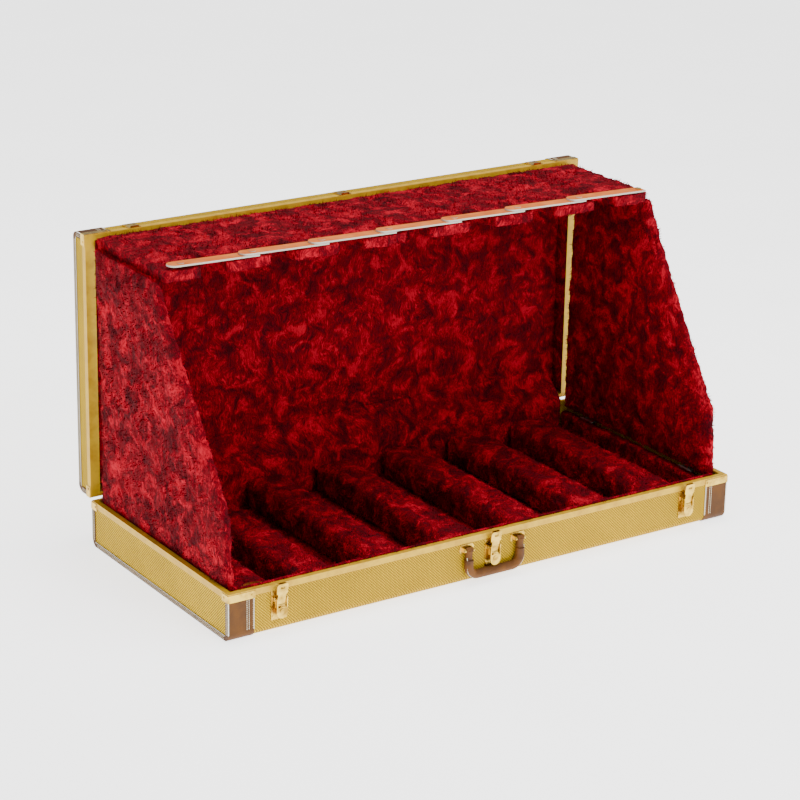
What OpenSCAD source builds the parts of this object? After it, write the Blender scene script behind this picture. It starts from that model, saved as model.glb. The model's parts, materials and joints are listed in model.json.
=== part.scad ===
// A tweed-covered travelling case that opens into a stand for seven guitars.
// The tray is the base, the lid stands upright behind it, two padded side panels stand in
// the tray and carry a padded neck rest with seven notches, each closed by a snap strap.
// Millimetres. X is the width, -Y the front, +Z up; the origin is the centre of the underside.

/* [Case] */
// Width of the tray and the lid
case_w = 1050; // [1020:5:1100]
// Depth of the tray, and height of the lid when it stands open
case_d = 478; // [470:2:490]
// Height of the tray
tray_h = 86; // [84:1:92]
// Depth of the lid
lid_h = 46; // [46:1:50]
// Radius of the long rounded edges
edge_r = 14; // [8:1:20]

/* [Walls] */
// Thickness of the side boards
wall_t = 9; // [8:1:9]
// Thickness of the boards on the hinge side
back_t = 6; // [5:1:6]
// Thickness of the bottom board of the tray
floor_t = 8; // [6:1:9]
// Thickness of the plush lining
lining_t = 5; // [4:1:5]

/* [Dividers] */
// Width of one divider bar
bar_w = 80; // [60:1:84]
// Distance between divider bars
bar_pitch = 148; // [140:1:148]
// Offset of the row of divider bars from the middle
bar_offset = 40; // [30:1:40]
// Height of the tops of the bars above the underside
bar_top = 70; // [50:1:70]

/* [Neck rest] */
// Distance between neck notches
notch_pitch = 137; // [130:1:137]
// Width of one neck notch
notch_w = 44; // [36:1:52]
// Depth of one neck notch
notch_d = 58; // [45:1:70]
// Thickness of the padded neck rest
rest_t = 22; // [18:1:22]

/* [Side panels] */
// Thickness of a padded side panel
panel_t = 15; // [12:1:15]
// Height of the front edge's bend above the underside
panel_knee_z = 205; // [160:5:260]

/* [Hidden] */
$fn = 64;
half_w = case_w / 2;
half_d = case_d / 2;
in_x = half_w - wall_t;             // inner face of the side boards
in_y = half_d - wall_t;             // inner face of the front board
back_y = half_d - back_t;           // inner face of the board on the hinge side
sheet_t = 1;                        // bare plush glued to the hinge side
gap = 0.3;                          // clearance of each rim from the closing plane
trim_t = 1.5;                       // thickness of the metal-look valance
leather_t = 1.2;
plate_t = 1;
skirt_h = 10;                       // height of the valance skirt
leather_w = 48;                     // width of the leather end bands
binding_w = 9;                      // width of the leather binding on the side faces
lip_w = 17;                         // width of the lid's side rims with their padding

hinge_y = half_d + 4.5;               // axis on which the lid turns
hinge_z = tray_h;
hinge_r = 2.8;
hinge_xs = [-400, 0, 400];

panel_out = in_x;                   // outer face of a side panel
panel_in = panel_out - panel_t;
fold_z = bar_top + 2;               // axis on which a side panel folds
fold_r = 2;
fold_pin_r = 0.9;
fold_ys = [-150, 150];
panel_bottom = fold_z + 2;

rest_top = tray_h + 480;            // top face of the neck rest
rest_under = rest_top - rest_t;
rest_half = 506;
rest_back = half_d + 2.5;
rest_pivot_z = rest_top - 10.2;      // axis on which the neck rest folds
stow_room = 11;                     // stowed, its top face lies this far inside the lid
rest_pivot_y = hinge_y + stow_room + rest_top - rest_pivot_z;
rest_pin_r = 1.6;
rest_barrel_r = 2.4;
rest_hinge_xs = [-400, 0, 400];

block_in_left = 417;                // inner face of the wide left block
block_in_right = panel_in - 5;      // inner face of the narrow right block
lining_floor = floor_t + 6;

latch_xs = [-430, 0, 430];
lever_y = -half_d - 5.5;            // axis of a latch lever
lever_z = 60;
hook_y = lever_y - 2.8;             // axis of a latch hook, on the lever
hook_z = lever_z - 10;
hook_lean = 8;                      // a hook at rest leans this far off the case

handle_y = -half_d - 8;
handle_z = 64;
handle_x = 54;                      // half the distance between the handle's pins

strap_t = 3;
strap_w = 25;
strap_y = 15;                       // middle of the straps, from the front edge of the rest
strap_slope = 1.46;                 // each strap climbs onto the tab of its neighbour
strap_left = -82;                   // ends of a strap, from the middle of its notch
strap_right = 52.5;
tab_left = 53.2;
tab_right = 88;
snap_at = -57;
strap_z = rest_top + 0.3;

brown = "#8a5a34";
tweed = "#c9a94e";
gold_trim = "#d2b04a";
plush = "#a8142c";
plush_dark = "#8c1026";
brass = "#d9c184";
tan = "#e2a06c";
steel = "#a8a49a";

// ---- helpers ----

// a box given by its lowest and highest corners
module block(lo, hi) {
    translate(lo) cube(hi - lo);
}

// a rod along X between two places
module rod_x(x0, x1, y, z, r) {
    translate([x0, y, z]) rotate([0, 90, 0]) cylinder(r = r, h = x1 - x0);
}

// a rod along Y between two places
module rod_y(y0, y1, x, z, r) {
    translate([x, y0, z]) rotate([-90, 0, 0]) cylinder(r = r, h = y1 - y0);
}

// children drawn as a closed lid, turned up to where the lid stands open
module opened() {
    translate([0, hinge_y, hinge_z]) rotate([-90, 0, 0]) translate([0, -hinge_y, -hinge_z])
        children();
}

// end view of a case half: square at the rim, rounded at its outer long edges
module half_profile(h, grow) {
    r = edge_r + grow;
    d = half_d + grow;
    union() {
        translate([-d, r - grow]) square([2 * d, h - r + grow]);
        translate([-d + r, -grow]) square([2 * (d - r), 2 * r]);
        for (s = [-1, 1]) translate([s * (d - r), r - grow]) circle(r);
    }
}

// a case half as a solid from x0 to x1, standing on z = 0
module half_solid(h, grow, x0, x1) {
    translate([x0, 0, 0]) rotate([90, 0, 90]) linear_extrude(x1 - x0) half_profile(h, grow);
}

// an open box: boards round a rectangular space
module half_shell(h, board_t) {
    difference() {
        half_solid(h, 0, -half_w, half_w);
        block([-in_x, -in_y, board_t], [in_x, back_y, h + 1]);
    }
}

// the trim that caps the rim: a skirt outside and a lip on top
module half_valance(h, lip_x) {
    top = h + trim_t - gap;
    difference() {
        block([-half_w - trim_t, -half_d - trim_t, h - skirt_h], [half_w + trim_t, half_d + trim_t, top]);
        block([-half_w, -half_d, h - skirt_h - 1], [half_w, half_d, h]);
        block([-lip_x, -in_y, h - 1], [lip_x, back_y, top + 1]);
    }
}

// leather end band with its binding round the side face, for x > 0
module half_leather(h) {
    x1 = half_w + leather_t;
    top = h - skirt_h;
    difference() {
        intersection() {
            half_solid(h, leather_t, half_w - leather_w, x1);
            block([0, -half_d - 9, 0], [x1 + 9, half_d + 9, top]);
        }
        half_solid(h + 9, 0, 0, half_w);
        block([half_w - 1, -half_d + binding_w, binding_w], [x1 + 9, half_d - binding_w, h + 9]);
    }
}

// an angle plate over one corner of the rim, at +x, -y
module corner_plate(h) {
    a = trim_t + plate_t;
    long_leg = 50;
    short_leg = 18;
    z0 = h - 14;
    z1 = h - 1;
    difference() {
        block([half_w - long_leg, -half_d - a, z0], [half_w + a, -half_d + short_leg, z1]);
        block([half_w - long_leg - 1, -half_d - trim_t, z0 - 1],
            [half_w + trim_t, -half_d + short_leg + 1, z1 + 1]);
    }
    // a rivet near the end of each leg
    translate([half_w - long_leg + 6, -half_d - a, h - 7.5]) rotate([90, 0, 0]) rivet();
    translate([half_w + a, -half_d + short_leg - 6, h - 7.5]) rotate([0, 90, 0]) rivet();
}

module corner_plates(h) {
    for (mx = [0, 1], my = [0, 1])
        mirror([mx, 0, 0]) mirror([0, my, 0]) corner_plate(h);
}

// head of a rivet
module rivet() {
    cylinder(r = 2, h = 0.8);
}

// ---- tray ----

shell_h = tray_h - trim_t;

module tray_shell() {
    color(tweed) half_shell(shell_h, floor_t);
}

module tray_valance() {
    color(gold_trim) half_valance(shell_h, in_x + 0.5);
}

module tray_leather(side) {
    color(brown) mirror([side < 0 ? 1 : 0, 0, 0]) half_leather(shell_h);
}

module tray_corner_plates() {
    color(brass) corner_plates(shell_h);
}

// floor pad, front pad with a rolled top edge, and the sheet on the hinge side
module tray_lining() {
    roll_z = tray_h - 3;
    x1 = panel_in - 1;
    color(plush_dark) union() {
        block([-in_x, -in_y, floor_t], [in_x, back_y, lining_floor]);
        block([-x1, -in_y, lining_floor - 1], [x1, -in_y + lining_t, roll_z]);
        rod_x(-x1, x1, -in_y + lining_t / 2, roll_z, lining_t / 2);
        block([-x1, back_y - sheet_t, lining_floor - 1], [x1, back_y, roll_z]);
    }
}

// the blocks that the side panels stand on; the left one is wide and carries the badge
module side_block(side) {
    x0 = side < 0 ? -in_x : block_in_right;
    x1 = side < 0 ? -block_in_left : in_x;
    color(plush_dark) difference() {
        block([x0, -in_y + lining_t, lining_floor], [x1, back_y - sheet_t, bar_top]);
        for (y = fold_ys)
            block([side * panel_in - 4, y - 22, bar_top - 4], [side * panel_in + 4, y + 22, bar_top + 1]);
    }
}

// one padded bar with rounded top edges
module divider(i) {
    x = bar_offset + (i - 2.5) * bar_pitch;
    r = 14;
    y0 = -in_y + lining_t;
    y1 = back_y - sheet_t - 8;
    color(plush) translate([x, y1, 0]) rotate([90, 0, 0]) linear_extrude(y1 - y0) union() {
        translate([-bar_w / 2, lining_floor]) square([bar_w, bar_top - r - lining_floor]);
        translate([-bar_w / 2 + r, lining_floor]) square([bar_w - 2 * r, bar_top - lining_floor]);
        for (s = [-1, 1]) translate([s * (bar_w / 2 - r), bar_top - r]) circle(r);
    }
}

// plain oval plate, cut from two crossing discs with rounded ends
module badge_plate() {
    oval_r = 30;
    color(brass) translate([-454, -200, bar_top]) linear_extrude(1.2) intersection() {
        translate([0, -14]) circle(oval_r);
        translate([0, 14]) circle(oval_r);
        circle(25);
    }
}

// ---- hinges of the lid ----

hinge_l = 60;
knuckle_l = hinge_l / 5;
leaf_t = 1.2;
hinge_pin_r = 1.35;
play = 0.1;                         // room for a pin to turn in a bore

// a leaf on the back board, joined to its knuckles by a short web
module back_leaf(x, ks, up, bore_r) {
    y0 = half_d + trim_t;
    near = 4;
    far = 36;
    z0 = up ? hinge_z + near : hinge_z - far;
    z1 = up ? hinge_z + far : hinge_z - near;
    difference() {
        union() {
            block([x - hinge_l / 2, y0, z0], [x + hinge_l / 2, y0 + leaf_t, z1]);
            for (k = ks) {
                x0 = x - hinge_l / 2 + k * knuckle_l + gap;
                x1 = x0 + knuckle_l - 2 * gap;
                block([x0, y0, up ? hinge_z : z1 - 1], [x1, y0 + leaf_t, up ? z0 + 1 : hinge_z]);
                rod_x(x0, x1, hinge_y, hinge_z, hinge_r);
            }
        }
        rod_x(x - hinge_l, x + hinge_l, hinge_y, hinge_z, bore_r);
    }
}

module tray_hinge_leaves() {
    color(steel) for (x = hinge_xs) back_leaf(x, [0, 2, 4], false, hinge_pin_r);
}

module lid_hinge_leaves() {
    color(steel) opened() for (x = hinge_xs) back_leaf(x, [1, 3], true, hinge_pin_r + play);
}

module lid_hinge_pins() {
    color(steel) for (x = hinge_xs)
        rod_x(x - hinge_l / 2 - 1, x + hinge_l / 2 + 1, hinge_y, hinge_z, hinge_pin_r);
}

// ---- latches ----

latch_ear_x = 12;                   // middle of an ear
latch_pin_r = 1.3;
lever_half = 10.4;                  // half the width of a lever
cheek_t = 2;
hook_stub_r = 1.1;

// plate on the tray with two bored ears for the lever
module latch_plate(x) {
    face = -half_d - trim_t;
    ear_r = 3.6;
    ear_t = 2.4;
    color(brass) translate([x, 0, 0]) difference() {
        union() {
            block([-15, face, 22], [15, -half_d, 74]);
            for (s = [-1, 1]) {
                x0 = s * latch_ear_x - ear_t / 2;
                block([x0, lever_y, lever_z - ear_r], [x0 + ear_t, -half_d, lever_z + ear_r]);
                rod_x(x0, x0 + ear_t, lever_y, lever_z, ear_r);
            }
            for (z = [28, 70], s = [-1, 1])
                translate([s * 11.5, face, z]) rotate([90, 0, 0]) rivet();
        }
        rod_x(-20, 20, lever_y, lever_z, latch_pin_r);
    }
}

module latch_pins() {
    color(steel) for (x = latch_xs)
        rod_x(x - latch_ear_x - 1.2, x + latch_ear_x + 1.2, lever_y, lever_z, latch_pin_r);
}

// lever: two cheeks from the pivot barrel down to a finger plate with a round end
module latch_lever(x) {
    outer = lever_y - 7;
    finger_z = 37;
    finger_t = 1.5;
    barrel_r = 2.5;
    color(brass) translate([x, 0, 0]) difference() {
        union() {
            rod_x(-lever_half, lever_half, lever_y, lever_z, barrel_r);
            for (s = [-1, 1]) {
                x0 = s * (lever_half - cheek_t / 2) - cheek_t / 2;
                block([x0, outer, hook_z - 4], [x0 + cheek_t, lever_y, lever_z + barrel_r]);
            }
            block([-lever_half, outer, finger_z], [lever_half, outer + finger_t, hook_z - 4]);
            translate([0, outer + finger_t, finger_z]) rotate([90, 0, 0])
                cylinder(r = lever_half, h = finger_t);
            translate([0, outer, finger_z + 3]) rotate([90, 0, 0]) cylinder(r = 4.5, h = 0.9);
        }
        rod_x(-20, 20, lever_y, lever_z, latch_pin_r + play);
        rod_x(-20, 20, hook_y, hook_z, hook_stub_r + play);
    }
}

// hook: a slotted plate that stands on the lever, with a lip at its top
module latch_hook(x) {
    neck = 7.8;
    head = 10.5;
    corner = 3.5;
    head_z = 36;
    tip_z = 39.5;
    half_t = 0.7;
    color(brass) translate([x, hook_y, hook_z]) rotate([hook_lean, 0, 0]) difference() {
        union() {
            rod_x(-neck, neck, 0, 0, 1.9);
            block([-neck, -half_t, 0], [neck, half_t, 22]);
            block([-head, -half_t, 21], [head, half_t, head_z]);
            for (s = [-1, 1]) translate([s * (head - corner), half_t, head_z])
                rotate([90, 0, 0]) cylinder(r = corner, h = 2 * half_t);
            block([-head + corner, -half_t, head_z - 1], [head - corner, half_t, tip_z]);
            block([-head + corner, 0.5, tip_z - 1.4], [head - corner, 4.5, tip_z]);
            rod_x(-9.9, 9.9, 0, 0, hook_stub_r);
        }
        block([-4, -2, 30], [4, 2, 34]);
    }
}

// ---- handle ----

handle_pin_r = 1.7;

// a half-moon plate and two bored loops at each end
module handle_plates() {
    loop_r = 3.5;
    color(brass) for (s = [-1, 1]) translate([s * handle_x, 0, 0]) difference() {
        union() {
            translate([0, -half_d, handle_z]) rotate([90, 0, 0]) cylinder(r = 15, h = 1.5);
            for (e = [-1, 1]) {
                x0 = e * 8.5 - 1.5;
                block([x0, handle_y, handle_z - loop_r], [x0 + 3, -half_d - 1, handle_z + loop_r]);
                rod_x(x0, x0 + 3, handle_y, handle_z, loop_r);
            }
        }
        rod_x(-12, 12, handle_y, handle_z, handle_pin_r);
        block([-20, -half_d - 3, handle_z - 20], [20, -half_d + 1, handle_z - 7]);
        block([-20, -half_d - 3, tray_h - 13], [20, -half_d + 1, tray_h]);
    }
}

module handle_pins() {
    color(steel) for (s = [-1, 1])
        rod_x(s * handle_x - 10, s * handle_x + 10, handle_y, handle_z, handle_pin_r);
}

// padded leather grip: a straight bar with rounded corners and two upright ends
module handle_grip() {
    bar_z = 17;
    corner_r = 18;
    end_r = 6.5;
    grip_r = 8.2;
    grip_y = handle_y - 1;
    color(brown) difference() {
        union() {
            rod_x(-handle_x + corner_r, handle_x - corner_r, grip_y, bar_z, grip_r);
            for (s = [-1, 1]) {
                translate([s * (handle_x - corner_r), grip_y, bar_z + corner_r])
                    rotate([90, 0, 0]) rotate([0, 0, s > 0 ? 270 : 180])
                        rotate_extrude(angle = 90) translate([corner_r, 0]) circle(grip_r);
                translate([s * handle_x, grip_y, bar_z + corner_r]) cylinder(r = grip_r, h = 12);
                translate([s * handle_x, handle_y, bar_z + corner_r + 8])
                    cylinder(r = end_r, h = handle_z - bar_z - corner_r - 8);
                rod_x(s * handle_x - end_r, s * handle_x + end_r, handle_y, handle_z, 5);
            }
        }
        rod_x(-handle_x - 20, handle_x + 20, handle_y, handle_z, handle_pin_r + play);
    }
}

// ---- side panels ----

panel_points = [
    [back_y - sheet_t - 0.6, panel_bottom],
    [back_y - sheet_t - 0.6, rest_under - 0.6],
    [4, rest_under - 0.6],
    [-half_d + 23, panel_knee_z],
    [-in_y + lining_t + 0.8, panel_bottom + 20],
    [-in_y + lining_t + 0.8, panel_bottom]];

// upright board in the end view's outline, notched round its hinge barrels
module side_panel(side) {
    x0 = side > 0 ? panel_in : -panel_out + 1;
    color(plush) difference() {
        translate([x0, 0, 0]) rotate([90, 0, 90]) linear_extrude(panel_t - 1) polygon(panel_points);
        for (y = fold_ys)
            block([side * panel_in - 5, y - 20, 0], [side * panel_in + 5, y + 20, fold_z + 4]);
    }
}

// hinge along Y between a block and a panel: fixed leaves, moving knuckles, pins
module panel_hinge_leaves() {
    color(steel) for (side = [-1, 1], y = fold_ys) difference() {
        union() {
            xa = side * (panel_in + 1);
            xb = side * (panel_out - 1);
            block([min(xa, xb), y - 18, bar_top], [max(xa, xb), y + 18, bar_top + 1]);
            for (s = [-1, 1])
                rod_y(y + s * 14 - 4, y + s * 14 + 4, side * panel_in, fold_z, fold_r);
        }
        rod_y(y - 30, y + 30, side * panel_in, fold_z, fold_pin_r);
        block([side * panel_in - 3, y - 10, bar_top - 1], [side * panel_in + 3, y + 10, fold_z]);
    }
}

module panel_hinge_pins() {
    color(steel) for (side = [-1, 1], y = fold_ys)
        rod_y(y - 19, y + 19, side * panel_in, fold_z, fold_pin_r);
}

module panel_knuckles(side) {
    middle = 9.6;
    color(steel) for (y = fold_ys) difference() {
        union() {
            rod_y(y - middle, y + middle, side * panel_in, fold_z, fold_r);
            xa = side * panel_in;
            xb = side * (panel_in + 1);
            block([min(xa, xb), y - middle, fold_z], [max(xa, xb), y + middle, fold_z + 4]);
        }
        rod_y(y - 30, y + 30, side * panel_in, fold_z, fold_pin_r + play);
    }
}

// ---- lid, drawn closed and turned open ----

lid_top = tray_h + lid_h;

// children drawn as a tray of the lid's depth, turned over onto the closing plane
module capped() {
    opened() translate([0, 0, lid_top]) mirror([0, 0, 1]) children();
}

lid_shell_h = lid_h - trim_t;

module lid_shell() {
    color(tweed) capped() half_shell(lid_shell_h, 5);
}

module lid_valance() {
    color(gold_trim) capped() half_valance(lid_shell_h, half_w - lip_w);
}

module lid_leather(side) {
    color(brown) capped() mirror([side < 0 ? 1 : 0, 0, 0]) half_leather(lid_shell_h);
}

module lid_corner_plates() {
    color(brass) capped() corner_plates(lid_shell_h);
}

// back pad, side pads under the wide rims, and a pad along the hinge side
module lid_lining() {
    side_x = half_w - lip_w;
    back = 11;
    rim = lid_shell_h - 2;
    color(plush_dark) capped() union() {
        block([-in_x, -in_y, 5], [in_x, back_y, back]);
        for (s = [-1, 1]) {
            xa = s * side_x;
            xb = s * in_x;
            block([min(xa, xb), -in_y, back - 1], [max(xa, xb), back_y, rim]);
        }
        block([-in_x, back_y - sheet_t, back - 1], [in_x, back_y, rim]);
    }
}

// catches on the lid's front board, each with a lip for a latch hook
module lid_keepers() {
    z0 = tray_h + 1.5;
    front = -half_d - trim_t;
    color(brass) opened() for (x = latch_xs) translate([x, 0, 0]) union() {
        block([-12, front - 1.5, z0], [12, front, tray_h + 26]);
        block([-12, front, tray_h + skirt_h + 2.5], [12, -half_d, tray_h + 26]);
        block([-8, front - 4.5, z0], [8, front - 1, z0 + 1.5]);
        for (s = [-1, 1])
            translate([s * 8, front - 1.5, tray_h + 20]) rotate([90, 0, 0]) cylinder(r = 1.8, h = 0.8);
    }
}

// ---- neck rest ----

// fixed leaves inside the lid's top board, with the outer knuckles of each hinge
module rest_hinge_leaves() {
    top_in = tray_h + (hinge_y + in_y);
    color(steel) for (x = rest_hinge_xs) difference() {
        union() {
            block([x - 20, rest_pivot_y - 4, top_in - 1], [x + 20, rest_pivot_y + 13, top_in]);
            for (s = [-1, 1]) {
                x0 = x + s * 15 - 4;
                y0 = rest_pivot_y - rest_barrel_r;
                block([x0, y0, rest_pivot_z], [x0 + 8, rest_pivot_y + rest_barrel_r, top_in]);
                rod_x(x0, x0 + 8, rest_pivot_y, rest_pivot_z, rest_barrel_r);
            }
        }
        rod_x(x - 30, x + 30, rest_pivot_y, rest_pivot_z, rest_pin_r);
    }
}

module rest_hinge_pins() {
    color(steel) for (x = rest_hinge_xs)
        rod_x(x - 20, x + 20, rest_pivot_y, rest_pivot_z, rest_pin_r);
}

// arms screwed under the neck rest, reaching back to the pins
module rest_hinge_arms() {
    arm_t = 1.5;
    color(steel) for (x = rest_hinge_xs) difference() {
        union() {
            x0 = x - 10.5;
            x1 = x + 10.5;
            bend_y = rest_back + 1.4;
            arm_z = rest_pivot_z + arm_t;
            block([x0, rest_back - 60, rest_under - arm_t], [x1, bend_y, rest_under]);
            block([x0, rest_back, rest_under - arm_t], [x1, bend_y, arm_z]);
            block([x0, rest_back, rest_pivot_z - arm_t], [x1, rest_pivot_y, arm_z]);
            rod_x(x0, x1, rest_pivot_y, rest_pivot_z, rest_barrel_r);
        }
        rod_x(x - 30, x + 30, rest_pivot_y, rest_pivot_z, rest_pin_r + play);
    }
}

// outline of the rest from above: a board whose front edge is eight fingers
module rest_outline() {
    r = 12;
    edges = [for (i = [0:7]) [
        i == 0 ? -rest_half : (i - 4) * notch_pitch + notch_w / 2,
        i == 7 ? rest_half : (i - 3) * notch_pitch - notch_w / 2]];
    difference() {
        union() {
            translate([-rest_half, r]) square([2 * rest_half, rest_back - r]);
            for (e = edges) {
                translate([e[0] + r, 0]) square([e[1] - e[0] - 2 * r, r + 1]);
                for (x = [e[0] + r, e[1] - r]) translate([x, r]) circle(r);
            }
        }
        for (i = [-3:3]) translate([i * notch_pitch, 0]) {
            translate([-notch_w / 2, -1]) square([notch_w, notch_d - notch_w / 2 + 1]);
            translate([0, notch_d - notch_w / 2]) circle(notch_w / 2);
        }
    }
}

module neck_rest() {
    color(plush) translate([0, 0, rest_under]) linear_extrude(rest_t) rest_outline();
}

snap_hole_r = 3.4;

// children placed on the sloping plane of strap i, with x from the middle of its notch
module on_strap(i) {
    translate([(i - 4) * notch_pitch + tab_right, strap_y, strap_z]) rotate([0, strap_slope, 0])
        translate([-tab_right, 0, 0]) children();
}

module snap_hole() {
    translate([snap_at, 0, -9]) cylinder(r = snap_hole_r, h = 30);
}

// leather strap with a round end and its brass snap cap
module strap(i) {
    r = strap_w / 2;
    color(tan) on_strap(i) difference() {
        union() {
            block([strap_left + r, -r, 0], [strap_right, r, strap_t]);
            translate([strap_left + r, 0, 0]) cylinder(r = r, h = strap_t);
        }
        snap_hole();
    }
    color(brass) on_strap(i) translate([snap_at, 0, strap_t]) difference() {
        cylinder(r = 6, h = 1.6);
        translate([0, 0, -1]) cylinder(r = snap_hole_r, h = 1.8);
    }
}

// fixed ends of the straps; each lies under the round end of the next one, and the last
// one is held down by the broad head of its stud
module strap_tabs() {
    color(tan) for (i = [1:7]) on_strap(i) difference() {
        block([tab_left, -strap_w / 2, 0], [tab_right, strap_w / 2, strap_t]);
        translate([notch_pitch, 0, 0]) snap_hole();
    }
}

// studs that stand on the rest; each pins a tab and takes a snap cap
module snap_studs() {
    color(brass) for (i = [1:8]) {
        x = (i - 4) * notch_pitch + snap_at;
        stud_h = i == 8 ? 5 : 6;
        translate([x, strap_y, rest_top]) cylinder(r = 2.6, h = stud_h);
        if (i == 8) translate([x, strap_y, rest_top + 3.8]) cylinder(r = 5.5, h = 1.4);
    }
}

tray_shell();
tray_valance();
tray_leather(-1);  // tray_leather_left
tray_leather(1);  // tray_leather_right
tray_corner_plates();
tray_lining();
side_block(-1);  // side_block_left
side_block(1);  // side_block_right
divider(0);  // divider_1
divider(1);  // divider_2
divider(2);  // divider_3
divider(3);  // divider_4
divider(4);  // divider_5
divider(5);  // divider_6
badge_plate();
tray_hinge_leaves();
lid_hinge_pins();
latch_plate(latch_xs[0]);  // latch_plate_left
latch_plate(latch_xs[1]);  // latch_plate_centre
latch_plate(latch_xs[2]);  // latch_plate_right
latch_lever(latch_xs[0]);  // latch_lever_left
latch_lever(latch_xs[1]);  // latch_lever_centre
latch_lever(latch_xs[2]);  // latch_lever_right
latch_hook(latch_xs[0]);  // latch_hook_left
latch_hook(latch_xs[1]);  // latch_hook_centre
latch_hook(latch_xs[2]);  // latch_hook_right
latch_pins();
handle_plates();
handle_pins();
handle_grip();
panel_hinge_leaves();
panel_hinge_pins();
side_panel(-1);  // left_side_panel
side_panel(1);  // right_side_panel
panel_knuckles(-1);  // left_panel_knuckles
panel_knuckles(1);  // right_panel_knuckles
lid_shell();
lid_valance();
lid_leather(-1);  // lid_leather_left
lid_leather(1);  // lid_leather_right
lid_corner_plates();
lid_lining();
lid_keepers();
lid_hinge_leaves();
rest_hinge_leaves();
rest_hinge_pins();
rest_hinge_arms();
neck_rest();
snap_studs();
strap_tabs();
strap(1);  // strap_1
strap(2);  // strap_2
strap(3);  // strap_3
strap(4);  // strap_4
strap(5);  // strap_5
strap(6);  // strap_6
strap(7);  // strap_7
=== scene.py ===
import json
import math

import bmesh
import bpy
import numpy as np
from mathutils import Matrix, Vector, noise


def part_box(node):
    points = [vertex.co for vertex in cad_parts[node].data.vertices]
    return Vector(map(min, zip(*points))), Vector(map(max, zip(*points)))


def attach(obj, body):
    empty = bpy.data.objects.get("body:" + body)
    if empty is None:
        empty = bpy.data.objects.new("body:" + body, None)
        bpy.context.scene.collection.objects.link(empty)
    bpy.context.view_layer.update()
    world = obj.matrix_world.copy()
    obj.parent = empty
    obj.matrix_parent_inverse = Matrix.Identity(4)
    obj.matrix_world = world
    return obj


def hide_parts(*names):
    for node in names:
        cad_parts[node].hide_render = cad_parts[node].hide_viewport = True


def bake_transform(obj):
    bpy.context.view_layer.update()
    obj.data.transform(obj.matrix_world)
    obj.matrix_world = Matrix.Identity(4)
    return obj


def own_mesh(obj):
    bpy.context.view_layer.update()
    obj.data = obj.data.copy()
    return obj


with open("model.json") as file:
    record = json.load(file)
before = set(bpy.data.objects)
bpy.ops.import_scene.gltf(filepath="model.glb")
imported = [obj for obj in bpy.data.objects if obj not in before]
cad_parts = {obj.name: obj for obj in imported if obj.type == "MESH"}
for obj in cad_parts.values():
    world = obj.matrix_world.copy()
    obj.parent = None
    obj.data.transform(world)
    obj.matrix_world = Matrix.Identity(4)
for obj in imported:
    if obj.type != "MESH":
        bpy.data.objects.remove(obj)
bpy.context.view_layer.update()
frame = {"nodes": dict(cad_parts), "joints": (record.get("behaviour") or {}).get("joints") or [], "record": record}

nodes = frame["nodes"]
record = frame["record"]
body_of_node = {n: b for b, names in record["behaviour"]["bodies"].items() for n in names}
joints = {joint["name"]: joint for joint in frame["joints"]}
mm = 0.001
noise.seed_set(1)


# ---- small helpers ----

def low(name):
    return Vector(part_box(name)[0])


def high(name):
    return Vector(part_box(name)[1])


def linear(r, g, b):
    """A colour given in the usual 0 to 255 steps, as a shader wants it."""
    out = []
    for c in (r, g, b):
        c = c / 255
        out.append(c / 12.92 if c <= 0.04045 else ((c + 0.055) / 1.055) ** 2.4)
    return (*out, 1.0)


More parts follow.
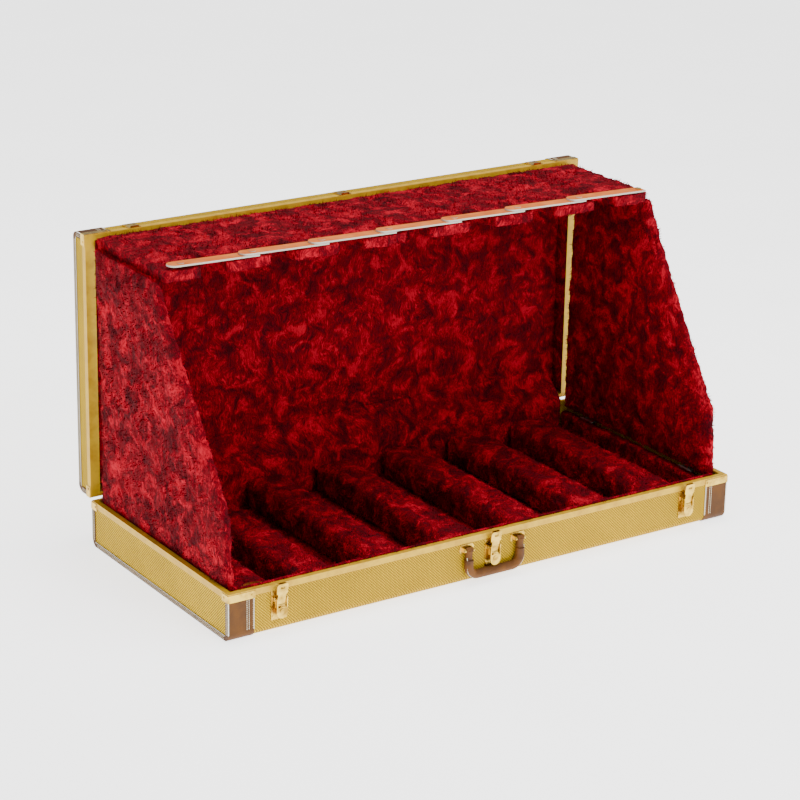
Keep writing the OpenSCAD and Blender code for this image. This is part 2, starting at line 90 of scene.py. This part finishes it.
class Tree:
    """A material under construction."""

    def __init__(self, name, roughness, metallic=0.0):
        self.material = bpy.data.materials.new(name)
        self.material.use_nodes = True
        self.tree = self.material.node_tree
        self.bsdf = self.tree.nodes["Principled BSDF"]
        self.set("Roughness", roughness)
        self.set("Metallic", metallic)
        self.coord = self.tree.nodes.new("ShaderNodeTexCoord").outputs["Object"]

    def set(self, socket, value):
        """Sets a value that is the same all over the surface."""
        self.bsdf.inputs[socket].default_value = value

    def plug(self, socket, value):
        if isinstance(value, bpy.types.NodeSocket):
            self.tree.links.new(value, socket)
        else:
            socket.default_value = value

    def math(self, operation, a, b=0.0):
        n = self.tree.nodes.new("ShaderNodeMath")
        n.operation = operation
        self.plug(n.inputs[0], a)
        self.plug(n.inputs[1], b)
        return n.outputs[0]

    def split(self, vector=None):
        n = self.tree.nodes.new("ShaderNodeSeparateXYZ")
        self.plug(n.inputs[0], vector or self.coord)
        return n.outputs

    def vector(self, operation, a, b):
        n = self.tree.nodes.new("ShaderNodeVectorMath")
        n.operation = operation
        self.plug(n.inputs[0], a)
        self.plug(n.inputs[1], b)
        return n.outputs[0]

    def noise(self, scale, detail=3.0, vector=None, colour=False, distortion=0.0):
        n = self.tree.nodes.new("ShaderNodeTexNoise")
        n.inputs["Scale"].default_value = scale
        n.inputs["Detail"].default_value = detail
        n.inputs["Distortion"].default_value = distortion
        self.plug(n.inputs["Vector"], vector or self.coord)
        return n.outputs["Color" if colour else "Fac"]

    def ramp(self, value, stops):
        n = self.tree.nodes.new("ShaderNodeValToRGB")
        while len(n.color_ramp.elements) < len(stops):
            n.color_ramp.elements.new(0.5)
        for element, (place, colour) in zip(n.color_ramp.elements, stops):
            element.position = place
            element.color = colour
        self.plug(n.inputs[0], value)
        return n.outputs[0]

    def mix(self, factor, a, b, blend="MIX"):
        n = self.tree.nodes.new("ShaderNodeMix")
        n.data_type = "RGBA"
        n.blend_type = blend
        self.plug(n.inputs[0], factor)
        self.plug(n.inputs[6], a)
        self.plug(n.inputs[7], b)
        return n.outputs[2]

    def bump(self, height, distance, strength=1.0):
        n = self.tree.nodes.new("ShaderNodeBump")
        n.inputs["Distance"].default_value = distance
        n.inputs["Strength"].default_value = strength
        self.plug(n.inputs["Height"], height)
        self.tree.links.new(n.outputs[0], self.bsdf.inputs["Normal"])

    def colour(self, value):
        self.plug(self.bsdf.inputs["Base Color"], value)

    def roughness(self, pattern, share, least):
        """Roughness that follows a pattern."""
        value = self.math("ADD", self.math("MULTIPLY", pattern, share), least)
        self.plug(self.bsdf.inputs["Roughness"], value)


# ---- materials ----

def make_tweed():
    """Twill of gold and brown threads that crosses every flat face diagonally."""
    t = Tree("tweed", 0.75)
    t.set("Specular IOR Level", 0.2)
    pitch = 5.2 * mm
    x, y, z = t.split()
    waves = []
    for sy, sz in ((1, 1), (1, -1), (-1, 1)):
        s = t.math("ADD", x, t.math("ADD", t.math("MULTIPLY", y, sy), t.math("MULTIPLY", z, sz)))
        waves.append(t.math("SINE", t.math("MULTIPLY", s, 2 * math.pi / pitch)))
    cross = t.math("MAXIMUM", t.math("MULTIPLY", waves[0], 0.75), t.math("MULTIPLY", waves[1], waves[2]))
    flecks = t.noise(900, 2)
    weave = t.math("ADD", t.math("MULTIPLY", cross, 0.42), t.math("MULTIPLY", flecks, 0.75))
    threads = t.ramp(weave, [(0.18, linear(226, 190, 18)), (0.48, linear(188, 144, 5)),
                             (0.74, linear(70, 50, 0))])
    shading = t.ramp(t.noise(9, 3), [(0.35, (0.9, 0.9, 0.9, 1)), (0.65, (1.06, 1.06, 1.04, 1))])
    t.colour(t.mix(1.0, threads, shading, "MULTIPLY"))
    t.bump(weave, 0.4 * mm)
    return t.material


def make_leather(name, dark, light, scale):
    """Mottled leather with a fine pebbled grain."""
    t = Tree(name, 0.6)
    t.set("Specular IOR Level", 0.25)
    mottle = t.noise(scale, 4)
    t.colour(t.ramp(mottle, [(0.3, dark), (0.7, light)]))
    grain = t.tree.nodes.new("ShaderNodeTexVoronoi")
    grain.inputs["Scale"].default_value = 700
    t.plug(grain.inputs["Vector"], t.coord)
    t.bump(grain.outputs["Distance"], 0.25 * mm, 0.6)
    t.roughness(mottle, 0.2, 0.5)
    return t.material


def make_metal(name, light, dark, rough, metallic=1.0):
    """Plated metal, duller where it is worn."""
    t = Tree(name, rough, metallic)
    worn = t.noise(60, 4)
    t.colour(t.ramp(worn, [(0.3, dark), (0.6, light)]))
    t.roughness(worn, 0.25, rough - 0.1)
    t.bump(t.noise(1500, 2), 0.05 * mm, 0.3)
    return t.material


def make_plush(name, dark, middle, bright):
    """Long crushed pile: patches that lie in different directions, with fine streaks along them."""
    t = Tree(name, 0.8)
    t.set("Sheen Weight", 0.02)
    t.set("Sheen Roughness", 0.5)
    t.set("Sheen Tint", linear(255, 70, 90))
    t.set("Specular IOR Level", 0.08)
    swirl = t.vector("SUBTRACT", t.noise(16, 2, colour=True), (0.5, 0.5, 0.5))
    warp = t.vector("ADD", t.coord, t.vector("MULTIPLY", swirl, (0.05, 0.05, 0.05)))
    patches = t.noise(32, 3, warp, distortion=0.8)
    stretched = t.vector("MULTIPLY", warp, (420.0, 300.0, 110.0))
    streaks = t.noise(1.0, 3, stretched, distortion=1.0)
    tone = t.math("ADD", t.math("MULTIPLY", patches, 0.9), t.math("MULTIPLY", streaks, 0.75))
    t.colour(t.ramp(tone, [(0.62, dark), (0.84, middle), (1.0, bright)]))
    t.bump(t.math("ADD", streaks, patches), 4 * mm, 1.0)
    return t.material


def make_strap():
    """Tan leather with pale painted edges."""
    t = Tree("strap_leather", 0.75)
    t.set("Specular IOR Level", 0.2)
    mottle = t.noise(35, 4)
    face = t.ramp(mottle, [(0.3, linear(196, 96, 34)), (0.7, linear(224, 126, 54))])
    facing = t.tree.nodes.new("ShaderNodeTexCoord").outputs["Normal"]
    edge = t.math("LESS_THAN", t.math("ABSOLUTE", t.split(facing)[2]), 0.5)
    t.colour(t.mix(edge, face, linear(196, 190, 176)))
    t.bump(t.noise(600, 3), 0.2 * mm, 0.5)
    return t.material


def make_thread(name, colour, shade):
    """Waxed thread or a painted cord."""
    t = Tree(name, 0.6)
    t.colour(t.ramp(t.noise(500, 2), [(0.3, shade), (0.7, colour)]))
    t.bump(t.noise(2500, 1), 0.1 * mm, 0.5)
    return t.material


def make_floor():
    """A plain pale floor that glows a little, so that it stays nearly white."""
    t = Tree("floor", 0.7)
    white = t.ramp(t.noise(3, 2), [(0.3, (0.93, 0.93, 0.93, 1)), (0.7, (0.95, 0.95, 0.95, 1))])
    t.colour(white)
    t.plug(t.bsdf.inputs["Emission Color"], white)
    t.set("Emission Strength", 2.4)
    return t.material


leather = make_leather("leather", linear(70, 40, 8), linear(100, 60, 13), 40)
grip_leather = make_leather("grip_leather", linear(76, 43, 11), linear(110, 66, 18), 60)
brass = make_metal("brass", linear(224, 188, 84), linear(150, 116, 38), 0.26)
gold = make_metal("gold_trim", linear(212, 170, 24), linear(188, 144, 14), 0.45, 0.25)
steel = make_metal("hinge_steel", linear(180, 176, 166), linear(120, 116, 108), 0.4)
plush = make_plush("plush", linear(62, 0, 10), linear(122, 0, 18), linear(198, 8, 40))
thread = make_thread("stitching", linear(238, 228, 200), linear(205, 190, 156))
pipe_material = make_thread("piping", linear(240, 236, 222), linear(214, 208, 190))

FINISH = {"tweed": make_tweed(), "trim": gold, "leather": leather, "plush": plush, "brass": brass,
          "strap_leather": make_strap(), "hinge_steel": steel}


def paint(obj, material):
    obj.data.materials.clear()
    obj.data.materials.append(material)


for part in record["subparts"]:
    paint(nodes[part["node"]], FINISH[part["material_slot"]])
paint(nodes["handle_grip"], grip_leather)


# ---- meshes ----

def new_object(name, verts, faces, smooth=True):
    mesh = bpy.data.meshes.new(name)
    mesh.from_pydata([tuple(v) for v in verts], [], [tuple(f) for f in faces])
    mesh.validate()
    mesh.update()
    obj = bpy.data.objects.new(name, mesh)
    bpy.context.scene.collection.objects.link(obj)
    if smooth:
        mesh.polygons.foreach_set("use_smooth", [True] * len(mesh.polygons))
    return obj


def coordinates(obj):
    co = np.empty(len(obj.data.vertices) * 3)
    obj.data.vertices.foreach_get("co", co)
    return co.reshape(-1, 3)


def set_coordinates(obj, co):
    obj.data.vertices.foreach_set("co", co.ravel())
    obj.data.update()


def normals(obj):
    out = np.empty(len(obj.data.vertices) * 3)
    obj.data.vertices.foreach_get("normal", out)
    return out.reshape(-1, 3)


def apply_modifiers(obj):
    graph = bpy.context.evaluated_depsgraph_get()
    mesh = bpy.data.meshes.new_from_object(obj.evaluated_get(graph))
    old = obj.data
    obj.modifiers.clear()
    obj.data = mesh
    bpy.data.meshes.remove(old)


def ramp_up(value, start, end):
    """0 up to start, 1 from end on, and even between them."""
    return np.clip((value - start) / (end - start), 0, 1)


# ---- plush ----

SWELL_FRAMES = 20
SWELL_PRESSURE = 4.0
BLADES_PER_M2 = 34000
BLADE_LENGTH = 7 * mm
BLADE_HALF_WIDTH = 0.9 * mm
BLADE_ROOT = 0.8 * mm


def inflate(obj, cap):
    """Swells a closed mesh like stuffed fabric, by at most cap."""
    rest = coordinates(obj)
    cloth = obj.modifiers.new("cloth", "CLOTH")
    cloth.settings.use_pressure = True
    cloth.settings.uniform_pressure_force = SWELL_PRESSURE
    cloth.settings.effector_weights.gravity = 0
    cloth.settings.quality = 4
    cloth.point_cache.frame_start = 1
    cloth.point_cache.frame_end = SWELL_FRAMES
    for f in range(1, SWELL_FRAMES + 1):
        bpy.context.scene.frame_set(f)
    graph = bpy.context.evaluated_depsgraph_get()
    done = obj.evaluated_get(graph).to_mesh()
    moved = np.empty(len(rest) * 3)
    done.vertices.foreach_get("co", moved)
    obj.modifiers.clear()
    step = moved.reshape(-1, 3) - rest
    size = np.linalg.norm(step, axis=1, keepdims=True)
    step *= np.minimum(1, cap / np.maximum(size, 1e-9))
    set_coordinates(obj, rest + step)
    bpy.context.scene.frame_set(1)


def pile(obj, height, seed):
    """Uneven tufts of a long pile, as bumps of the surface: broad ones with finer ones on them."""
    broad = 55.0
    fine = broad * 2.7
    co = coordinates(obj)
    push = normals(obj)
    offset = Vector((seed, seed * 0.7, -seed))
    lift = np.empty(len(co))
    for k, c in enumerate(co):
        p = Vector(c)
        lift[k] = 0.65 * noise.noise(p * broad + offset) + 0.35 * noise.noise(p * fine - offset)
    set_coordinates(obj, co + push * (lift * height)[:, None])


def tufts(obj, seed, under=None):
    """Short leaning blades all over a piece, for the loose ends of the pile."""
    mesh = obj.data
    mesh.calc_loop_triangles()
    tris = np.empty(len(mesh.loop_triangles) * 3, dtype=np.int32)
    mesh.loop_triangles.foreach_get("vertices", tris)
    tris = tris.reshape(-1, 3)
    co = coordinates(obj)
    up = normals(obj)
    a, b, c = co[tris[:, 0]], co[tris[:, 1]], co[tris[:, 2]]
    area = np.linalg.norm(np.cross(b - a, c - a), axis=1) / 2
    rng = np.random.default_rng(seed)
    count = int(area.sum() * BLADES_PER_M2)
    pick = rng.choice(len(area), count, p=area / area.sum())
    w = rng.dirichlet((1, 1, 1), count)
    place = w[:, :1] * a[pick] + w[:, 1:2] * b[pick] + w[:, 2:] * c[pick]
    out = up[tris[pick, 0]]
    lean = np.array([noise.noise_vector(Vector(p) * 22) for p in place])
    lean += rng.normal(0, 0.18, (count, 3))
    lean[:, 2] -= 0.15
    way = out * 0.75 + lean * 1.5
    way /= np.linalg.norm(way, axis=1, keepdims=True)
    side = np.cross(way, rng.normal(0, 1, (count, 3)))
    side /= np.linalg.norm(side, axis=1, keepdims=True)
    reach = BLADE_LENGTH * rng.uniform(0.6, 1.2, (count, 1))
    if under is not None:
        free = ~((place[:, 1] < under[0]) & (out[:, 2] > 0.3))
        place, out, way, side, reach = (v[free] for v in (place, out, way, side, reach))
        count = len(place)
    foot = place - out * BLADE_ROOT
    half = side * BLADE_HALF_WIDTH
    verts = np.stack([foot - half, foot + half, foot + way * reach], axis=1)
    faces = np.arange(count * 3).reshape(-1, 3)
    blades = bpy.data.meshes.new("blades")
    blades.from_pydata(verts.reshape(-1, 3).tolist(), [], faces.tolist())
    bm = bmesh.new()
    bm.from_mesh(mesh)
    bm.from_mesh(blades)
    bm.to_mesh(mesh)
    bm.free()
    bpy.data.meshes.remove(blades)


def finish_plush(obj, height, seed, replaced, under=None):
    """Pile, tufts and finish of one plush piece, and hides the CAD parts it replaces. under = (y, z): in front of
    y it stays below z.
    """
    pile(obj, height, seed)
    if under is not None:
        co = coordinates(obj)
        co[:, 2] = np.where(co[:, 1] < under[0], np.minimum(co[:, 2], under[1]), co[:, 2])
        set_coordinates(obj, co)
    obj.data.polygons.foreach_set("use_smooth", [True] * len(obj.data.polygons))
    obj.data.update()
    tufts(obj, int(seed * 10) + 1, under)
    paint(obj, plush)
    if replaced:
        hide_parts(*replaced)
    return obj


def soft(node, voxel, cap, height, seed=0.0, under=None, shape=None):
    """A padded piece that takes the place of a CAD solid, and rides on the same body."""
    room_to_swell = 1.5 * mm
    obj = nodes[node].copy()
    obj.data = nodes[node].data.copy()
    obj.name = node + "_plush"
    bpy.context.scene.collection.objects.link(obj)
    for key in list(obj.keys()):
        if key.startswith("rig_"):
            del obj[key]
    place = obj.matrix_world.copy()
    obj.parent = None
    obj.data.transform(place)
    obj.matrix_world = Matrix.Identity(4)
    remesh = obj.modifiers.new("remesh", "REMESH")
    remesh.mode = "VOXEL"
    remesh.voxel_size = voxel
    remesh.adaptivity = 0
    apply_modifiers(obj)
    set_coordinates(obj, coordinates(obj) - normals(obj) * room_to_swell)
    inflate(obj, cap)
    obj.modifiers.new("divide", "SUBSURF").levels = 1
    apply_modifiers(obj)
    if shape is not None:
        set_coordinates(obj, shape(coordinates(obj)))
    finish_plush(obj, height, seed, [node], under)
    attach(obj, body_of_node[node])
    return obj


def padded_strip(name, profile, x0, x1, step=6 * mm):
    """A closed pad with the same outline, given as (y, z) points, all along X. All but step is in mm."""
    ring = []
    for k, p in enumerate(profile):
        q = profile[(k + 1) % len(profile)]
        parts = max(1, round(math.dist(p, q) * mm / step))
        ring += [(p[0] + (q[0] - p[0]) * f / parts, p[1] + (q[1] - p[1]) * f / parts)
                 for f in range(parts)]
    rows = round((x1 - x0) * mm / step)
    verts = [((x0 + (x1 - x0) * r / rows) * mm, y * mm, z * mm) for r in range(rows + 1) for y, z in ring]
    n = len(ring)
    faces = [(r * n + k, r * n + (k + 1) % n, (r + 1) * n + (k + 1) % n, (r + 1) * n + k)
             for r in range(rows) for k in range(n)]
    faces += [tuple(range(n))[::-1], tuple(rows * n + k for k in range(n))]
    obj = new_object(name, verts, faces)
    bm = bmesh.new()
    bm.from_mesh(obj.data)
    bmesh.ops.recalc_face_normals(bm, faces=bm.faces)
    bm.to_mesh(obj.data)
    bm.free()
    return obj


# ---- bars and blocks on the tray's floor ----

for k in range(1, 7):
    soft("divider_%d" % k, 6 * mm, 2 * mm, 3.5 * mm, seed=k * 3.1)
for name in ("side_block_left", "side_block_right"):
    soft(name, 6 * mm, 1.5 * mm, 2.5 * mm, seed=5.0)


# ---- side panels and neck rest ----

rest_end = high("neck_rest").x
rest_rear = high("neck_rest").y
rest_bottom = low("neck_rest").z
rest_top = high("neck_rest").z
strap_edge = high("strap_1").y + 2 * mm


def hug_rest(co):
    """A side panel's top swells outside the end of the neck rest, and its foot reaches down to the tray."""
    rise = 13 * mm
    spread = 6 * mm
    spread_from = 300 * mm
    sink = 4.5 * mm
    outside = ramp_up(np.abs(co[:, 0]), rest_end - 4 * mm, rest_end + 5 * mm)
    co[:, 2] += rise * outside * ramp_up(co[:, 2], rest_bottom - 30 * mm, rest_bottom - 4 * mm)
    co[:, 0] += np.sign(co[:, 0]) * spread * ramp_up(co[:, 2], spread_from, rest_bottom)
    foot = co[:, 2].min()
    co[:, 2] -= sink * (1 - ramp_up(co[:, 2], foot, foot + 12 * mm))
    return co


def widen_rest(co):
    """The neck rest's pile closes the gaps at its ends and towards the lid's rim."""
    longer = 4 * mm
    deeper = 2.5 * mm
    co[:, 0] += np.sign(co[:, 0]) * longer * ramp_up(np.abs(co[:, 0]), rest_end - 30 * mm, rest_end)
    co[:, 1] += deeper * ramp_up(co[:, 1], rest_rear - 25 * mm, rest_rear)
    return co


for name in ("left_side_panel", "right_side_panel"):
    panel = soft(name, 6 * mm, 4 * mm, 4 * mm, seed=9.0, shape=hug_rest)
    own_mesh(panel)
soft("neck_rest", 5 * mm, 3 * mm, 3.5 * mm, seed=12.0, under=(strap_edge, rest_top - 0.3 * mm),
     shape=widen_rest)


# ---- lining of the tray: a front pad whose top rolls over the rim, and a floor pad ----

inner_x = high("side_block_right").x / mm
tray_front = low("tray_lining").y / mm
tray_back = high("tray_lining").y / mm
tray_floor = low("tray_lining").z / mm
rim_z = high("tray_valance").z / mm
front_end = 499
floor_thick = 6

front_outline = [(tray_front + 0.2, tray_floor + 7), (tray_front + 5, tray_floor + 7),
                 (tray_front + 7, rim_z - 8), (tray_front + 6.5, rim_z), (tray_front + 3, rim_z + 3.5),
                 (tray_front - 1, rim_z + 2.5), (tray_front + 0.2, rim_z - 1)]
front_pad = finish_plush(padded_strip("front_pad", front_outline, -front_end, front_end, 4 * mm),
                         1.2 * mm, 21.0, ["tray_lining"])
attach(front_pad, "tray")
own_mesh(front_pad)

floor_outline = [(tray_front + 1, tray_floor + 0.3), (tray_back - 1, tray_floor + 0.3),
                 (tray_back - 1, tray_floor + floor_thick), (tray_front + 1, tray_floor + floor_thick)]
floor_pad = finish_plush(padded_strip("floor_pad", floor_outline, -inner_x + 1, inner_x - 1, 10 * mm),
                         1.5 * mm, 22.0, [])
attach(floor_pad, "tray")


# ---- lining of the lid: a back pad with one crease, and pads under the wide rims ----

lid_low = low("lid_lining") / mm
lid_high = high("lid_lining") / mm
pad_thick = 6
pad_front = lid_high.y - pad_thick
pad_steps = 77
crease_z = 362
crease_depth = 6
crease_width = 10
puff_depth = 2.2
puff_height = 196

lid_outline = [(lid_high.y - 0.3, lid_low.z + 1)]
for k in range(pad_steps + 1):
    z = lid_low.z + 1 + (lid_high.z - lid_low.z - 2) * k / pad_steps
    fold = crease_depth * math.exp(-((z - crease_z) / crease_width) ** 2)
    puff = puff_depth * abs(math.sin(math.pi * (z - crease_z) / puff_height)) ** 0.7
    lid_outline.append((min(pad_front + 0.8 - puff + fold, lid_high.y - 1), z))
lid_outline.append((lid_high.y - 0.3, lid_high.z - 1))
lid_pad = finish_plush(padded_strip("lid_pad", lid_outline, lid_low.x + 1, lid_high.x - 1),
                       2.2 * mm, 31.0, ["lid_lining"])
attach(lid_pad, "lid")
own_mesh(lid_pad)

rim_pad_width = 7
rim_outline = [(lid_low.y + 2, lid_low.z + 3), (pad_front + 2, lid_low.z + 3),
               (pad_front + 2, lid_high.z - 3), (lid_low.y + 2, lid_high.z - 3)]
for name, x0 in (("lid_side_pad_left", lid_low.x), ("lid_side_pad_right", lid_high.x - rim_pad_width)):
    rim_pad = finish_plush(padded_strip(name, rim_outline, x0 + 0.5, x0 + rim_pad_width, 5 * mm),
                           0.8 * mm, 33.0, [])
    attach(rim_pad, "lid")


# ---- plush that hangs over the hinges, from the lid's lining down inside the tray ----

flap_end = 498
flap_foot = 9
flap_front = [(tray_back - 1.6, flap_foot), (tray_back - 1.6, 84), (234, 92), (239, 99), (246, 105),
              (255, 111), (264, 119), (271, 129), (275, 142)]
flap_rear = [(277.5, 142), (274, 126), (266, 115), (256, 107), (247, 100.5), (241, 94), (237, 88),
             (tray_back - 0.2, 86), (tray_back - 0.2, flap_foot)]
flap = finish_plush(padded_strip("hinge_flap", flap_front + flap_rear, -flap_end, flap_end, 5 * mm),
                    1.0 * mm, 41.0, [])
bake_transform(flap)


# ---- stitching and piping on the leather ----

half_width = high("tray_shell").x / mm
half_depth = high("tray_shell").y / mm
lid_face_y = high("lid_shell").y / mm
hinge_place = joints["lid_hinge"]["pos_m"]
hinge_sum = (hinge_place[1] + hinge_place[2]) / mm
skin = 1.2
side_x = half_width + skin
stitch_length = 3.6 * mm
stitch_share = 0.72
leather_tops = {"tray": 73, "lid": 33}
front_insets = (34, 38, 46)
front_foot = 16
binding_inset = 47.6
binding_foot = 14
side_insets = (3, 6)
side_foot = 12
edge_sunk = 0.2
edge_foot = 13
bottom_heights = (3, 6)
bottom_inset = 14
welt_height = 9
welt_inset = 9


def on_tray(x, y, h):
    return Vector((x, y, h)) * mm


def on_lid(x, y, h):
    """The same place on the lid, as it stands open: h is measured from its outer face."""
    return Vector((x, lid_face_y - h, hinge_sum - y)) * mm


def add_block(verts, faces, a, b, across, out, half, thick):
    """A low bar from a to b."""
    base = len(verts)
    for p in (a, b):
        for s, t in ((-1, -0.4), (1, -0.4), (0.7, 1), (-0.7, 1)):
            verts.append(p + across * (s * half) + out * (t * thick))
    faces += [tuple(base + k for k in f) for f in
              ((0, 1, 2, 3), (7, 6, 5, 4), (0, 4, 5, 1), (1, 5, 6, 2), (2, 6, 7, 3), (3, 7, 4, 0))]


def sew(mesh, place, a, b, across, out, half, thick, pitch=stitch_length, share=stitch_share):
    """A row of stitches from a to b in a case half's own measures, or one piping if the pitch is 0."""
    start, end = place(*a), place(*b)
    zero = place(0, 0, 0)
    across = (place(*across) - zero).normalized()
    out = (place(*out) - zero).normalized()
    length = (end - start).length
    count = max(1, round(length / pitch)) if pitch else 1
    for k in range(count):
        f0 = k / count
        f1 = (k + share) / count
        add_block(*mesh, start.lerp(end, f0), start.lerp(end, f1), across, out, half, thick)


def sew_corner(place, sx, sy, top, stitches, pipes):
    """The seams of one end leather where it goes round a corner of the case."""
    face_y = sy * (half_depth + skin)
    for inset in front_insets:
        x = sx * (half_width - inset)
        sew(stitches, place, (x, face_y, front_foot), (x, face_y, top), (1, 0, 0), (0, sy, 0),
            0.55 * mm, 0.45 * mm)
    x = sx * side_x
    for inset in side_insets:
        y = sy * (half_depth - inset)
        sew(stitches, place, (x, y, side_foot), (x, y, top), (0, 1, 0), (sx, 0, 0), 0.5 * mm, 0.45 * mm)
    edge_x = sx * (half_width + skin - edge_sunk)
    edge_y = sy * (half_depth + skin - edge_sunk)
    sew(pipes, place, (edge_x, edge_y, edge_foot), (edge_x, edge_y, top), (sx, -sy, 0), (sx, sy, 0),
        1.0 * mm, 0.9 * mm, 0, 1)
    x = sx * (half_width - binding_inset)
    sew(pipes, place, (x, face_y, binding_foot), (x, face_y, top), (1, 0, 0), (0, sy, 0),
        0.5 * mm, 0.4 * mm, 0, 1)


def sew_bottom_edge(place, sx, stitches, pipes):
    """The seams of one end leather along the bottom of the case's side."""
    x = sx * side_x
    y = half_depth - bottom_inset
    for h in bottom_heights:
        sew(stitches, place, (x, -y, h), (x, y, h), (0, 0, 1), (sx, 0, 0), 0.5 * mm, 0.45 * mm)
    y = half_depth - welt_inset
    sew(pipes, place, (x, -y, welt_height), (x, y, welt_height), (0, 0, 1), (sx, 0, 0),
        0.5 * mm, 0.5 * mm, 0, 1)


def add_trim(name, mesh, material, body):
    obj = new_object(name, *mesh, False)
    paint(obj, material)
    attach(obj, body)


for body, place in (("tray", on_tray), ("lid", on_lid)):
    stitches = ([], [])
    pipes = ([], [])
    for sx in (-1, 1):
        for sy in (-1, 1):
            sew_corner(place, sx, sy, leather_tops[body], stitches, pipes)
        sew_bottom_edge(place, sx, stitches, pipes)
    add_trim(body + "_stitches", stitches, thread, body)
    add_trim(body + "_piping", pipes, pipe_material, body)


# ---- stitching along both edges of the handle's grip ----

grip_low = low("handle_grip") / mm
grip_high = high("handle_grip") / mm
grip_y = grip_low.y + 0.4
grip_pitch = 3.4
grip_share = 0.7
seam_inset = 2.2
seam_top = 52
corner = 22
corner_steps = 8
seam_x = grip_high.x - seam_inset
seam_bottom = grip_low.z + seam_inset
forward = Vector((0, -1, 0))
grip_seam = ([], [])
for s in (-1, 1):
    path = [Vector((s * seam_x, grip_y + 5, seam_top))]
    for k in range(corner_steps + 1):
        a = math.pi / 2 * k / corner_steps
        path.append(Vector((s * (seam_x - corner + corner * math.cos(a)), grip_y + 4,
                            seam_bottom + corner - corner * math.sin(a))))
    path.append(Vector((0, grip_y + 4, seam_bottom)))
    for p, q in zip(path, path[1:]):
        count = max(1, round((q - p).length / grip_pitch))
        for k in range(count):
            start = p.lerp(q, k / count) * mm
            end = p.lerp(q, (k + grip_share) / count) * mm
            along = (end - start).normalized()
            add_block(*grip_seam, start, end, along.cross(forward), forward, 0.6 * mm, 1.4 * mm)
add_trim("grip_stitches", grip_seam, thread, "handle")


# ---- camera, floor and light ----

def place_camera(azimuth, elevation, roll, distance, target, lens):
    """A camera on a 36 mm sensor. Azimuth 0 looks along +Y; the angles are in degrees."""
    azimuth, elevation, roll = (math.radians(a) for a in (azimuth, elevation, roll))
    back = Vector((math.sin(azimuth) * math.cos(elevation), -math.cos(azimuth) * math.cos(elevation),
                   math.sin(elevation)))
    right = Vector((0, 0, 1)).cross(back).normalized()
    up = back.cross(right)
    cam_x = right * math.cos(roll) + up * math.sin(roll)
    cam_y = up * math.cos(roll) - right * math.sin(roll)
    turn = Matrix((cam_x, cam_y, back)).transposed().to_4x4()
    camera = bpy.data.objects.new("camera", bpy.data.cameras.new("camera"))
    bpy.context.scene.collection.objects.link(camera)
    camera.data.sensor_width = 36
    camera.data.lens = lens
    camera.data.clip_start = 0.1
    camera.data.clip_end = 100
    camera.matrix_world = Matrix.Translation(target + back * distance) @ turn
    bpy.context.scene.camera = camera


def area_light(name, place, size, power):
    """A soft light that faces the middle of the case."""
    middle = Vector((0, 0, 0.2))
    light = bpy.data.lights.new(name, "AREA")
    light.energy = power
    light.size = size
    obj = bpy.data.objects.new(name, light)
    bpy.context.scene.collection.objects.link(obj)
    obj.location = place
    obj.rotation_euler = (middle - Vector(place)).to_track_quat("-Z", "Y").to_euler()


place_camera(azimuth=-33.84, elevation=19.81, roll=1.12, distance=4.674, target=Vector((-0.037, 0.0, 0.2586)),
             lens=118.9)

reach = 9
ground = new_object("floor", [(-reach, -reach, 0), (reach, -reach, 0), (reach, reach, 0), (-reach, reach, 0)],
                    [(0, 1, 2, 3)])
ground.data.materials.append(make_floor())

area_light("key", (0.3, -2.9, 2.5), 1.2, 68)
area_light("fill", (2.6, -2.4, 1.6), 2.0, 8)
area_light("top", (0.2, 0.2, 3.4), 1.8, 92)

world = bpy.data.worlds.new("studio")
bpy.context.scene.world = world
world.use_nodes = True
background = world.node_tree.nodes["Background"]
background.inputs["Color"].default_value = (1, 1, 1, 1)
background.inputs["Strength"].default_value = 0.55
